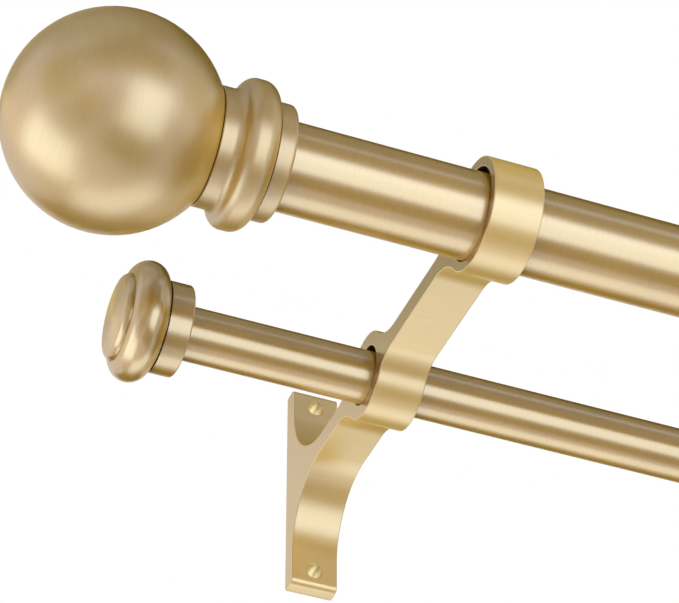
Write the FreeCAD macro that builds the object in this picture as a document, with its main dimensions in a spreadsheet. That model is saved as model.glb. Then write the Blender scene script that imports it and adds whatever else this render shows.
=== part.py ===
import FreeCAD, Part
import enum
import math
import os
import Sketcher

# Double curtain pole: a thick front pole with ball finials and a thin rear pole with capped
# ends, both passed through the rings of two extruded wall brackets.
# Frame: X runs along the poles, +Y goes into the wall, +Z is up. The origin lies on the wall,
# midway between the brackets and at the centre of their four screw holes.

# Driving dimensions in millimetres, angles in degrees.
SIZES = {
    # Brackets
    "bracket_spacing": 480,
    "bracket_width": 14.6,
    "plate_height": 74,
    "plate_thickness": 5.8,
    "plate_round": 2,
    "hole_spacing": 62.5,
    "hole_diameter": 5,
    "arm_fall": 2.5,
    "arm_thickness": 6.2,
    "front_reach": 144,
    "rear_reach": 65,
    "front_ring_wall": 3,
    "rear_ring_wall": 4.5,
    "upper_root_radius": 26,
    "lower_root_radius": 21,
    "ring_blend": 17,
    "underside_blend": 11,
    # Play of the poles in the rings, and the gap left where they rest
    "ring_play": 1,
    "rest_gap": 0.1,
    # Poles
    "front_pole_diameter": 25,
    "front_pole_wall": 1.2,
    "front_pole_length": 635,
    "rear_pole_diameter": 16,
    "rear_pole_wall": 1,
    "rear_pole_length": 626,
    # Clearances of sockets, plugs and threads
    "socket_play": 0.15,
    "plug_play": 0.1,
    "thread_play": 0.1,
    # Set screws in the tops of the rings
    "set_screw_diameter": 4,
    "set_screw_key": 2,
    "set_screw_key_depth": 1.8,
    # Ball finials of the front pole
    "ball_diameter": 60.5,
    "ball_wall": 1.5,
    "ball_floor": 3,
    "ball_boss_diameter": 14,
    "ball_boss_length": 12,
    "collar_length": 21,
    "collar_socket_depth": 14,
    "neck_diameter": 33.4,
    "neck_chamfer": 0.4,
    "collar_sleeve_length": 4.9,
    "collar_sleeve_diameter": 32.8,
    "collar_sleeve_round": 1.2,
    "collar_groove_width": 0.5,
    "collar_groove_depth": 0.5,
    "collar_bead_diameter": 41.8,
    "collar_bead_round": 4.4,
    "collar_bead_land": 1.6,
    "collar_flank_length": 5.8,
    "collar_flank_shoulder": 0.58,
    "stud_diameter": 6,
    "stud_chamfer": 0.6,
    "stud_depth": 12,
    "front_plug_length": 20,
    # Capped ends of the rear pole
    "cap_sleeve_length": 7,
    "cap_sleeve_diameter": 27.2,
    "cap_sleeve_round": 0.6,
    "cap_groove_depth": 0.5,
    "cap_bead_diameter": 35.6,
    "cap_bead_radius": 5.4,
    "cap_bead_middle": 12.65,
    "cap_length": 17.9,
    "cap_socket_depth": 9,
    "cap_web": 3.5,
    "button_diameter": 25.6,
    "button_seat_depth": 2,
    "button_height": 2.7,
    "button_shoulder": 2.2,
    "button_crown": 0.5,
    "button_play": 0.1,
    "cap_screw_diameter": 5,
    "cap_screw_head_diameter": 9,
    "cap_screw_head_height": 1.8,
    "cap_screw_length": 15,
    "rear_plug_length": 18,
}

SHEET = "Sizes"
LEFT, RIGHT = -1, 1
SIDE_NAMES = {LEFT: "left", RIGHT: "right"}
OUT_OF_SKETCH = FreeCAD.Vector(0, 0, 1)
KEY_SIDES = 6


class Spot(enum.IntEnum):
    """The points of an edge, as the sketches number them."""

    START = 1
    END = 2
    CENTRE = 3


class Axis(enum.IntEnum):
    """The axes of a sketch, as the sketches number them."""

    HORIZONTAL = -1
    VERTICAL = -2


ORIGIN_POINT = (Axis.HORIZONTAL, Spot.START)


class Size:
    """A size held both as a number and as the expression that ties it to the sheet."""

    def __init__(self, number, text):
        self.number = number
        self.text = text

    def joined(self, sign, other, number):
        return Size(number, f"({self.text} {sign} {as_size(other).text})")

    def __add__(self, other):
        return self.joined("+", other, self.number + as_size(other).number)

    def __sub__(self, other):
        return self.joined("-", other, self.number - as_size(other).number)

    def __mul__(self, other):
        return self.joined("*", other, self.number * as_size(other).number)

    def __truediv__(self, other):
        return self.joined("/", other, self.number / as_size(other).number)

    def __neg__(self):
        return Size(-self.number, f"(-1 * {self.text})")


def as_size(value):
    """Return value as a Size, so that plain numbers can stand beside sizes."""
    return value if isinstance(value, Size) else Size(float(value), f"({value:.12g})")


def root(value):
    """Return the square root of a size."""
    return Size(math.sqrt(value.number), f"sqrt({value.text})")


def tangent(angle):
    """Return the tangent of an angle in degrees."""
    return Size(math.tan(math.radians(angle.number)), f"tan({angle.text} * 1 deg)")


document = FreeCAD.newDocument("double_curtain_pole")
sheet = document.addObject("Spreadsheet::Sheet", SHEET)
for row, (alias, value) in enumerate(SIZES.items(), start=1):
    sheet.set(f"A{row}", alias)
    sheet.set(f"B{row}", str(value))
    sheet.setAlias(f"B{row}", alias)
document.recompute()

size = {alias: Size(float(value), f"{SHEET}.{alias}") for alias, value in SIZES.items()}
pieces = []


def new_body(label):
    """Add the body of one piece and keep it for the export."""
    body = document.addObject("PartDesign::Body", label)
    body.Label = label
    pieces.append(body)
    return body


def place(body, x, y, z, outward=RIGHT):
    """Put a body at a point, with its local +X turned to the given side."""
    turn = FreeCAD.Rotation(OUT_OF_SKETCH, 0 if outward == RIGHT else 180)
    body.Placement = FreeCAD.Placement(FreeCAD.Vector(), turn)
    for letter, length in zip("xyz", (x, y, z)):
        body.setExpression(f"Placement.Base.{letter}", as_size(length).text)


def new_sketch(body, role, name):
    """Add a sketch on one of the body's own origin planes."""
    sketch = body.newObject("Sketcher::SketchObject", f"{body.Name}_{name}")
    plane = next(item for item in body.Origin.OriginFeatures if item.Role == role)
    sketch.AttachmentSupport = [(plane, "")]
    sketch.MapMode = "FlatFace"
    return sketch


def dimension(sketch, length, kind, *places):
    """Add a dimension to a sketch and tie it to the sheet."""
    index = sketch.addConstraint(Sketcher.Constraint(kind, *places, length.number))
    sketch.setExpression(f"Constraints[{index}]", length.text)


def relate(sketch, kind, *places):
    """Add a relation without a size to a sketch."""
    sketch.addConstraint(Sketcher.Constraint(kind, *places))


def fix_point(sketch, item, end, x, y):
    """Dimension a point of a sketch from the sketch's origin."""
    for kind, axis, length in (("DistanceX", Axis.VERTICAL, x), ("DistanceY", Axis.HORIZONTAL, y)):
        if as_size(length).number == 0:
            relate(sketch, "PointOnObject", item, end, axis)
        else:
            dimension(sketch, as_size(length), kind, *ORIGIN_POINT, item, end)


def draw_edge(sketch, start, stop, centre=None, clockwise=False):
    """Draw a straight or round edge and return its index and those of its two ends."""
    if centre is None:
        return sketch.addGeometry(Part.LineSegment(start, stop)), Spot.START, Spot.END
    first, last = (stop, start) if clockwise else (start, stop)
    angles = [math.atan2(point.y - centre.y, point.x - centre.x) for point in (first, last)]
    if angles[1] <= angles[0]:
        angles[1] += 2 * math.pi
    whole = Part.Circle(centre, OUT_OF_SKETCH, (start - centre).Length)
    item = sketch.addGeometry(Part.ArcOfCircle(whole, *angles))
    return (item, Spot.END, Spot.START) if clockwise else (item, Spot.START, Spot.END)


def draw_circle(sketch, x, y, radius):
    """Draw a dimensioned circle."""
    middle = FreeCAD.Vector(as_size(x).number, as_size(y).number, 0)
    item = sketch.addGeometry(Part.Circle(middle, OUT_OF_SKETCH, radius.number))
    fix_point(sketch, item, Spot.CENTRE, x, y)
    dimension(sketch, radius, "Radius", item)


class Round:
    """The round edge that leaves a corner: its radius, its centre and its turning sense."""

    def __init__(self, radius, x, y, clockwise=False):
        self.radius = radius
        self.centre = FreeCAD.Vector(as_size(x).number, as_size(y).number, 0)
        self.clockwise = clockwise


def draw_outline(sketch, corners):
    """Draw a closed outline through dimensioned corners, each (x, y) or (x, y, Round)."""
    points = [FreeCAD.Vector(as_size(x).number, as_size(y).number, 0) for x, y, *_ in corners]
    edges = []
    for number, (_, _, *rounds) in enumerate(corners):
        ends = points[number], points[(number + 1) % len(points)]
        if rounds:
            edges.append(draw_edge(sketch, *ends, rounds[0].centre, rounds[0].clockwise))
            dimension(sketch, rounds[0].radius, "Radius", edges[-1][0])
        else:
            edges.append(draw_edge(sketch, *ends))
    for number, (item, start, stop) in enumerate(edges):
        following, following_start, _ = edges[(number + 1) % len(edges)]
        relate(sketch, "Coincident", item, stop, following, following_start)
        fix_point(sketch, item, start, *corners[number][:2])


def turn_piece(label, corners):
    """Make a turned piece from its half section, with its axis along local X."""
    body = new_body(label)
    sketch = new_sketch(body, "XY_Plane", "section")
    draw_outline(sketch, corners)
    turning = body.newObject("PartDesign::Revolution", f"{label}_turning")
    turning.Profile = sketch
    turning.ReferenceAxis = (sketch, ["H_Axis"])
    turning.Angle = 360
    return body


def pad(body, sketch, length):
    """Extrude a sketch to both sides of its plane."""
    feature = body.newObject("PartDesign::Pad", f"{sketch.Name}_pad")
    feature.Profile = sketch
    feature.SideType = "Symmetric"
    feature.setExpression("Length", length.text)
    document.recompute()


def cut(body, sketch, sides, depth=None, upwards=False):
    """Cut a sketch through the body or to a depth, and stop if that removes nothing."""
    before = body.Shape.Volume
    feature = body.newObject("PartDesign::Pocket", f"{sketch.Name}_pocket")
    feature.Profile = sketch
    feature.SideType = sides
    feature.Reversed = upwards
    if depth is None:
        feature.Type = "ThroughAll"
    else:
        feature.setExpression("Length", depth.text)
    document.recompute()
    if not body.Shape.Volume < before:
        raise RuntimeError(f"{feature.Name} cuts nothing")


# Rings and poles: the arm's centre line starts at the middle of the plate and falls away from
# the wall, both rings are centred on it, and each pole rests in the bottom of its ring.
arm_half = size["arm_thickness"] / 2
fall = tangent(size["arm_fall"])
front_pole_radius = size["front_pole_diameter"] / 2
rear_pole_radius = size["rear_pole_diameter"] / 2
front_bore = front_pole_radius + size["ring_play"]
rear_bore = rear_pole_radius + size["ring_play"]
front_ring = front_bore + size["front_ring_wall"]
rear_ring = rear_bore + size["rear_ring_wall"]
front_y = -size["front_reach"]
rear_y = -size["rear_reach"]
front_ring_z = front_y * fall
rear_ring_z = rear_y * fall
pole_drop = size["ring_play"] - size["rest_gap"]
front_z = front_ring_z - pole_drop
rear_z = rear_ring_z - pole_drop
half_spacing = size["bracket_spacing"] / 2


class ArmRing:
    """One ring of the bracket's profile, with the blends that lead the arm into it."""

    def __init__(self, y, z, radius):
        self.y = y
        self.z = z
        self.radius = radius
        self.middle = FreeCAD.Vector(y.number, z.number, 0)

    def blend(self, roomward, above, blend_radius):
        """Return the centre, the arm's end and the ring's end of the blend on one side."""
        radius = blend_radius.number
        across = arm_half.number + radius
        reach = math.sqrt((self.radius.number + radius) ** 2 - across ** 2)
        centre = self.middle + along_arm * (roomward * reach) + across_arm * (above * across)
        on_arm = centre - across_arm * (above * radius)
        on_ring = self.middle + (centre - self.middle).normalize() * self.radius.number
        return centre, on_arm, on_ring


arm_angle = math.radians(SIZES["arm_fall"])
along_arm = FreeCAD.Vector(-math.cos(arm_angle), -math.sin(arm_angle), 0)
across_arm = FreeCAD.Vector(-math.sin(arm_angle), math.cos(arm_angle), 0)


def root_curve(root_radius, above):
    """Return the centre, the plate's end and the arm's end of a curve from plate to arm."""
    radius = root_radius.number
    centre_y = -size["plate_thickness"].number - radius
    across = above * (arm_half.number + radius)
    centre_z = (across + math.sin(arm_angle) * centre_y) / math.cos(arm_angle)
    centre = FreeCAD.Vector(centre_y, centre_z, 0)
    return centre, centre + FreeCAD.Vector(radius, 0, 0), centre - across_arm * (above * radius)


def blend_radius(name):
    """Return a blend's radius, which is tighter under the rear ring on the side to the room."""
    return size["underside_blend" if name == "lower_outer" else "ring_blend"]


def draw_bracket_profile(sketch):
    """Draw the extruded profile: wall plate, root curves, arm and the two blended rings."""
    top = size["plate_height"].number / 2
    thickness = size["plate_thickness"].number
    corner = size["plate_round"].number
    front = ArmRing(front_y, front_ring_z, front_ring)
    rear = ArmRing(rear_y, rear_ring_z, rear_ring)
    point = FreeCAD.Vector
    wall_foot = point(0, -top, 0)
    wall_head = point(0, top, 0)
    edges = {}
    last = [wall_foot]

    def go(name, stop, centre=None, clockwise=False):
        edges[name] = draw_edge(sketch, last[0], stop, centre, clockwise)
        last[0] = stop

    def blend_in(name, ring, roomward, above):
        centre, on_arm, on_ring = ring.blend(roomward, above, blend_radius(name))
        go(f"{name}_arm", on_arm)
        go(f"{name}_blend", on_ring, centre, clockwise=True)

    def blend_out(name, ring, roomward, above):
        centre, on_arm, on_ring = ring.blend(roomward, above, blend_radius(name))
        go(f"{name}_ring", on_ring, ring.middle)
        go(f"{name}_blend", on_arm, centre, clockwise=True)

    # From the foot of the wall face, up and round to it again.
    go("wall", wall_head)
    go("head", point(corner - thickness, top, 0))
    go("head_corner", point(-thickness, top - corner, 0), point(corner - thickness, top - corner, 0))
    centre, on_plate, on_arm = root_curve(size["upper_root_radius"], 1)
    go("upper_plate", on_plate)
    go("upper_root", on_arm, centre, clockwise=True)
    blend_in("upper_inner", rear, -1, 1)
    blend_out("upper_middle", rear, 1, 1)
    blend_in("upper_outer", front, -1, 1)
    blend_out("front", front, -1, -1)
    blend_in("lower_outer", rear, 1, -1)
    blend_out("lower_middle", rear, -1, -1)
    centre, on_plate, on_arm = root_curve(size["lower_root_radius"], -1)
    go("lower_inner_arm", on_arm)
    go("lower_root", on_plate, centre, clockwise=True)
    go("lower_plate", point(-thickness, corner - top, 0))
    go("foot_corner", point(corner - thickness, -top, 0), point(corner - thickness, corner - top, 0))
    go("foot", wall_foot)

    # Neighbouring edges are tangent, except at the wall face's two sharp ends.
    names = list(edges)
    for name, following in zip(names, names[1:] + names[:1]):
        sharp = "wall" in (name, following)
        joint = (edges[name][0], edges[name][2], edges[following][0], edges[following][1])
        relate(sketch, "Coincident" if sharp else "Tangent", *joint)

    item = {name: edge[0] for name, edge in edges.items()}
    relate(sketch, "PointOnObject", item["wall"], Spot.START, Axis.VERTICAL)
    relate(sketch, "Symmetric", item["wall"], Spot.START, item["wall"], Spot.END, *ORIGIN_POINT)
    dimension(sketch, size["plate_height"], "DistanceY", item["wall"], Spot.START, item["wall"], Spot.END)
    for name in ("head", "foot"):
        relate(sketch, "Horizontal", item[name])
    for name in ("upper_plate", "lower_plate"):
        relate(sketch, "Vertical", item[name])
        dimension(sketch, size["plate_thickness"], "Distance", item[name], Spot.START, Axis.VERTICAL)
    for name in ("head_corner", "foot_corner"):
        dimension(sketch, size["plate_round"], "Radius", item[name])
    for name in ("upper_root", "lower_root"):
        dimension(sketch, size[f"{name}_radius"], "Radius", item[name])
    for name in (name for name in names if name.endswith("_blend")):
        dimension(sketch, blend_radius(name.removesuffix("_blend")), "Radius", item[name])
    dimension(sketch, rear_ring, "Radius", item["upper_middle_ring"])
    dimension(sketch, front_ring, "Radius", item["front_ring"])
    fix_point(sketch, item["upper_middle_ring"], Spot.CENTRE, rear_y, rear_ring_z)
    fix_point(sketch, item["front_ring"], Spot.CENTRE, front_y, front_ring_z)
    relate(sketch, "Equal", item["upper_middle_ring"], item["lower_middle_ring"])
    ring_centres = (item["upper_middle_ring"], Spot.CENTRE, item["lower_middle_ring"], Spot.CENTRE)
    relate(sketch, "Coincident", *ring_centres)

    # The arm's four straight edges lie half its thickness from the line through the rings.
    centre_line = sketch.addGeometry(Part.LineSegment(rear.middle, front.middle), True)
    relate(sketch, "Coincident", centre_line, Spot.START, item["upper_middle_ring"], Spot.CENTRE)
    relate(sketch, "Coincident", centre_line, Spot.END, item["front_ring"], Spot.CENTRE)
    for name in (name for name in names if name.endswith("_arm")):
        relate(sketch, "Parallel", item[name], centre_line)
        dimension(sketch, arm_half, "Distance", item[name], Spot.START, centre_line)

    draw_circle(sketch, front_y, front_ring_z, front_bore)
    draw_circle(sketch, rear_y, rear_ring_z, rear_bore)


def make_bracket(side):
    """Make one bracket: the extruded profile, its wall holes and its set screw holes."""
    body = new_body(f"{SIDE_NAMES[side]}_bracket")
    profile = new_sketch(body, "YZ_Plane", "profile")
    draw_bracket_profile(profile)
    pad(body, profile, size["bracket_width"])
    wall_holes = new_sketch(body, "XZ_Plane", "wall_holes")
    for direction in (-1, 1):
        draw_circle(wall_holes, 0, size["hole_spacing"] / 2 * direction, size["hole_diameter"] / 2)
    cut(body, wall_holes, "Symmetric")
    screw_holes = new_sketch(body, "XY_Plane", "set_screw_holes")
    for y in (front_y, rear_y):
        draw_circle(screw_holes, 0, y, size["set_screw_diameter"] / 2 + size["thread_play"])
    cut(body, screw_holes, "One side", upwards=True)
    place(body, half_spacing * side, 0, 0)


def make_set_screw(side, name, ring_y, ring_z, bore, wall, pole_top):
    """Make a socket set screw, flush with the top of its ring and bearing on the pole."""
    body = new_body(f"{SIDE_NAMES[side]}_{name}_set_screw")
    section = new_sketch(body, "XY_Plane", "section")
    draw_circle(section, 0, 0, size["set_screw_diameter"] / 2)
    ring_top = ring_z + bore + wall
    length = ring_top - pole_top
    pad(body, section, length)
    key = new_sketch(body, "XY_Plane", "key")
    key.setExpression("AttachmentOffset.Base.z", (length / 2).text)
    key_radius = size["set_screw_key"] / 2 / math.cos(math.pi / KEY_SIDES)
    corners = []
    for number in range(KEY_SIDES):
        turn = 2 * math.pi * number / KEY_SIDES
        corners.append(tuple(key_radius * round(part, 12) for part in (math.cos(turn), math.sin(turn))))
    draw_outline(key, corners)
    cut(body, key, "One side", depth=size["set_screw_key_depth"])
    place(body, half_spacing * side, ring_y, (ring_top + pole_top) / 2)


def make_pole(label, radius, wall, length, y, z):
    """Make a pole: a plain round tube, centred between the brackets."""
    body = new_body(label)
    section = new_sketch(body, "YZ_Plane", "section")
    draw_circle(section, 0, 0, radius)
    draw_circle(section, 0, 0, radius - wall)
    pad(body, section, length)
    place(body, 0, y, z)


def make_plug(label, radius, hole, length):
    """Make a plug that fills the end of a tube and takes a thread; its face is at local 0."""
    return turn_piece(label, [(0, hole), (0, radius), (-length, radius), (-length, hole)])


def make_front_finial(side):
    """Make the plug, stud, collar and ball at one end of the front pole."""
    prefix = SIDE_NAMES[side]
    tube_end = size["front_pole_length"] / 2 * side
    stud_radius = size["stud_diameter"] / 2
    tapped = stud_radius + size["thread_play"]
    plug_radius = front_pole_radius - size["front_pole_wall"] - size["plug_play"]
    plug = make_plug(f"{prefix}_front_plug", plug_radius, tapped, size["front_plug_length"])

    # Lengths below run outwards from the end of the tube, which bears on the socket's floor.
    mouth = -size["collar_socket_depth"]
    neck_end = mouth + size["collar_length"]
    sleeve = size["collar_sleeve_diameter"] / 2
    sleeve_round = size["collar_sleeve_round"]
    neck = size["neck_diameter"] / 2
    bead = size["collar_bead_diameter"] / 2
    groove = sleeve - size["collar_groove_depth"]
    sleeve_end = mouth + size["collar_sleeve_length"]
    bead_start = sleeve_end + size["collar_groove_width"]
    bead_round = size["collar_bead_round"]
    land_start = bead_start + bead_round
    land_end = land_start + size["collar_bead_land"]
    flank = size["collar_flank_length"]
    flank_drop = bead - neck
    flank_rounds = (flank * flank + flank_drop * flank_drop) / (flank_drop * 2)
    shoulder = flank_rounds * size["collar_flank_shoulder"]
    cove = flank_rounds - shoulder
    cove_start = land_end + flank * size["collar_flank_shoulder"]
    cove_start_radius = bead - flank_drop * size["collar_flank_shoulder"]
    cove_end = land_end + flank
    chamfer = size["neck_chamfer"]
    socket = front_pole_radius + size["socket_play"]
    collar = turn_piece(f"{prefix}_collar", [
        (mouth, socket),
        (mouth, sleeve - sleeve_round,
         Round(sleeve_round, mouth + sleeve_round, sleeve - sleeve_round, clockwise=True)),
        (mouth + sleeve_round, sleeve),
        (sleeve_end, sleeve),
        (sleeve_end, groove),
        (bead_start, groove),
        (bead_start, bead - bead_round,
         Round(bead_round, land_start, bead - bead_round, clockwise=True)),
        (land_start, bead),
        (land_end, bead, Round(shoulder, land_end, bead - shoulder, clockwise=True)),
        (cove_start, cove_start_radius, Round(cove, cove_end, neck + cove)),
        (cove_end, neck),
        (neck_end - chamfer, neck),
        (neck_end, neck - chamfer),
        (neck_end, tapped),
        (0, tapped),
        (0, socket),
    ])

    # The ball is a shell with a flat seat on the collar and a threaded boss inside.
    ball = size["ball_diameter"] / 2
    hollow = ball - size["ball_wall"]
    seat = neck - chamfer
    boss = size["ball_boss_diameter"] / 2
    ball_middle = neck_end + root(ball * ball - seat * seat)
    floor = neck_end + size["ball_floor"]
    boss_end = neck_end + size["ball_boss_length"]
    floor_reach = ball_middle - floor
    hollow_edge = root(hollow * hollow - floor_reach * floor_reach)
    ball_piece = turn_piece(f"{prefix}_ball", [
        (neck_end, tapped),
        (neck_end, seat, Round(ball, ball_middle, 0, clockwise=True)),
        (ball_middle + ball, 0),
        (ball_middle + hollow, 0, Round(hollow, ball_middle, 0)),
        (floor, hollow_edge),
        (floor, boss),
        (boss_end, boss),
        (boss_end, tapped),
    ])

    stud_start = -size["stud_depth"]
    stud_chamfer = size["stud_chamfer"]
    stud = turn_piece(f"{prefix}_stud", [
        (stud_start, 0),
        (stud_start, stud_radius - stud_chamfer),
        (stud_start + stud_chamfer, stud_radius),
        (boss_end - stud_chamfer, stud_radius),
        (boss_end, stud_radius - stud_chamfer),
        (boss_end, 0),
    ])
    for body in (plug, collar, ball_piece, stud):
        place(body, tube_end, front_y, front_z, outward=side)


def make_rear_cap(side):
    """Make the plug, cap, screw and button at one end of the rear pole."""
    prefix = SIDE_NAMES[side]
    tube_end = size["rear_pole_length"] / 2 * side
    screw_radius = size["cap_screw_diameter"] / 2
    tapped = screw_radius + size["thread_play"]
    plug_radius = rear_pole_radius - size["rear_pole_wall"] - size["plug_play"]
    plug = make_plug(f"{prefix}_rear_plug", plug_radius, tapped, size["rear_plug_length"])

    # Lengths below run outwards from the end of the tube, which bears on the socket's floor.
    mouth = -size["cap_socket_depth"]
    face = mouth + size["cap_length"]
    sleeve = size["cap_sleeve_diameter"] / 2
    sleeve_round = size["cap_sleeve_round"]
    sleeve_end = mouth + size["cap_sleeve_length"]
    groove = sleeve - size["cap_groove_depth"]
    bead_radius = size["cap_bead_radius"]
    bead_axis = size["cap_bead_diameter"] / 2 - bead_radius
    bead_middle = mouth + size["cap_bead_middle"]
    groove_rise = groove - bead_axis
    bead_start = bead_middle - root(bead_radius * bead_radius - groove_rise * groove_rise)
    face_reach = face - bead_middle
    face_edge = bead_axis + root(bead_radius * bead_radius - face_reach * face_reach)
    socket = rear_pole_radius + size["socket_play"]
    button_radius = size["button_diameter"] / 2
    button_seat = face - size["button_seat_depth"]
    pocket = button_radius + size["button_play"]
    head_seat = size["cap_web"]
    head_pocket = size["cap_screw_head_diameter"] / 2 + size["thread_play"]
    cap = turn_piece(f"{prefix}_cap", [
        (mouth, socket),
        (mouth, sleeve - sleeve_round,
         Round(sleeve_round, mouth + sleeve_round, sleeve - sleeve_round, clockwise=True)),
        (mouth + sleeve_round, sleeve),
        (sleeve_end, sleeve),
        (sleeve_end, groove),
        (bead_start, groove, Round(bead_radius, bead_middle, bead_axis, clockwise=True)),
        (face, face_edge),
        (face, pocket),
        (button_seat, pocket),
        (button_seat, head_pocket),
        (head_seat, head_pocket),
        (head_seat, tapped),
        (0, tapped),
        (0, socket),
    ])

    # The button covers the screw: a rounded rim and a low crown.
    shoulder = size["button_shoulder"]
    crown = size["button_crown"]
    crown_edge = button_radius - shoulder
    crown_radius = (crown_edge * crown_edge + crown * crown) / (crown * 2)
    button_top = face + size["button_height"]
    rim_top = button_top - crown
    button = turn_piece(f"{prefix}_button", [
        (button_seat, 0),
        (button_seat, button_radius),
        (rim_top - shoulder, button_radius,
         Round(shoulder, rim_top - shoulder, crown_edge, clockwise=True)),
        (rim_top, crown_edge, Round(crown_radius, button_top - crown_radius, 0, clockwise=True)),
        (button_top, 0),
    ])

    head_radius = size["cap_screw_head_diameter"] / 2
    head_top = head_seat + size["cap_screw_head_height"]
    screw_tip = head_seat - size["cap_screw_length"]
    screw = turn_piece(f"{prefix}_cap_screw", [
        (screw_tip, 0),
        (screw_tip, screw_radius),
        (head_seat, screw_radius),
        (head_seat, head_radius),
        (head_top, head_radius),
        (head_top, 0),
    ])
    for body in (plug, cap, button, screw):
        place(body, tube_end, rear_y, rear_z, outward=side)


make_pole("front_pole", front_pole_radius, size["front_pole_wall"], size["front_pole_length"],
          front_y, front_z)
make_pole("rear_pole", rear_pole_radius, size["rear_pole_wall"], size["rear_pole_length"],
          rear_y, rear_z)
for side in (LEFT, RIGHT):
    make_bracket(side)
    make_set_screw(side, "front", front_y, front_ring_z, front_bore, size["front_ring_wall"],
                   front_z + front_pole_radius)
    make_set_screw(side, "rear", rear_y, rear_ring_z, rear_bore, size["rear_ring_wall"],
                   rear_z + rear_pole_radius)
    make_front_finial(side)
    make_rear_cap(side)
document.recompute()

for item in document.Objects:
    if {"Invalid", "Error"} & set(item.State):
        raise RuntimeError(f"{item.Name} is in state {item.State}")
for body in pieces:
    if body.Shape.isNull() or not body.Shape.isValid() or not body.Shape.Solids:
        raise RuntimeError(f"{body.Label} has no valid solid")

os.makedirs("parts", exist_ok=True)
for body in pieces:
    body.Shape.exportStep(os.path.join("parts", f"{body.Label}.step"))
    print(f"{body.Label}: {body.Shape.Volume:.1f} mm3")
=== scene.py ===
"""Double curtain pole in brushed gold: the looks of its poles, finials, capped ends and brackets.

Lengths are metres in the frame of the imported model: X runs along the poles, +Y goes into the wall, +Z is up.
"""

import logging
import math
from dataclasses import dataclass
from enum import Enum, IntEnum
from typing import Iterable, Optional, Sequence

import bmesh
import bpy
from mathutils import Matrix, Vector


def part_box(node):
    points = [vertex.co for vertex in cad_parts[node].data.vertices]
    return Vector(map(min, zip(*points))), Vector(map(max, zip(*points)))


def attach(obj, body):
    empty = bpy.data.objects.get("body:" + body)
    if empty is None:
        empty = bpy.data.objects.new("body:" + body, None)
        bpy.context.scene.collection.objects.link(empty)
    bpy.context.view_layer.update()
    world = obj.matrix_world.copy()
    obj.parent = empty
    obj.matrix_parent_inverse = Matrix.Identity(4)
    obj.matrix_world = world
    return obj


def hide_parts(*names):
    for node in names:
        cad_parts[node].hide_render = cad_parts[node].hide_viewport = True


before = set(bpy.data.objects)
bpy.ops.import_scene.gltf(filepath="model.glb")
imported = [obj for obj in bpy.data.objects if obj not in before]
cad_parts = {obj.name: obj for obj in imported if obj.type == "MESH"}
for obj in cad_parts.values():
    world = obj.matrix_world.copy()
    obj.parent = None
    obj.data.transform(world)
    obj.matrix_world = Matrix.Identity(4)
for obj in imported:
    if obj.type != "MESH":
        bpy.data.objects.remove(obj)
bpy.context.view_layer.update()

BODY = "root"
MM = 0.001
FULL_TURN = 2 * math.pi
ROUND_SEGMENTS = 144
HOLE_SEGMENTS = 48
ARC_STEP = math.radians(5)
LEAST_ARC_STEPS = 2
# The brackets' profile has finer arcs than the turned pieces.
PROFILE_FINENESS = 1.5
LEAST_PROFILE_STEPS = 3
MERGE_DISTANCE = 1e-6
CREASE_ANGLE = math.radians(20)
# The sine and cosine of 45 degrees, halfway round a rounded edge.
EDGE_MIDDLE = math.sqrt(0.5)
# The anisotropic rotation counts in full turns.
QUARTER_TURN = 0.25
X_AXIS = Vector((1, 0, 0))
Y_AXIS = Vector((0, 1, 0))

Colour = tuple[float, float, float]

log = logging.getLogger("curtain_pole")


class Side(Enum):
    """An end of the pole, with the sign of its X direction."""

    LEFT = -1
    RIGHT = 1

    def node(self, name: str) -> str:
        """Return the name of this end's CAD node."""
        return f"{self.name.lower()}_{name}"


class Brushing(Enum):
    """The way in which the fine lines of a brushed finish run."""

    ROUND = "round the pole's axis"
    ALONG = "along the pole's axis"


class Slot(Enum):
    """Material slots of the record."""

    POLE = "pole"
    BRACKET = "bracket"
    TURNED = "turned"
    BALL = "ball"
    PLUG = "plug"
    SCREW = "screw"


class BracketFace(IntEnum):
    """The faces of a bracket, by the place of their finish in its list of materials."""

    SWEPT = 0
    SAWN = 1
    BORE = 2


def opaque(colour: Colour) -> tuple[float, float, float, float]:
    """Return a colour with full alpha, as a colour socket takes it."""
    return (*colour, 1.0)


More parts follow.
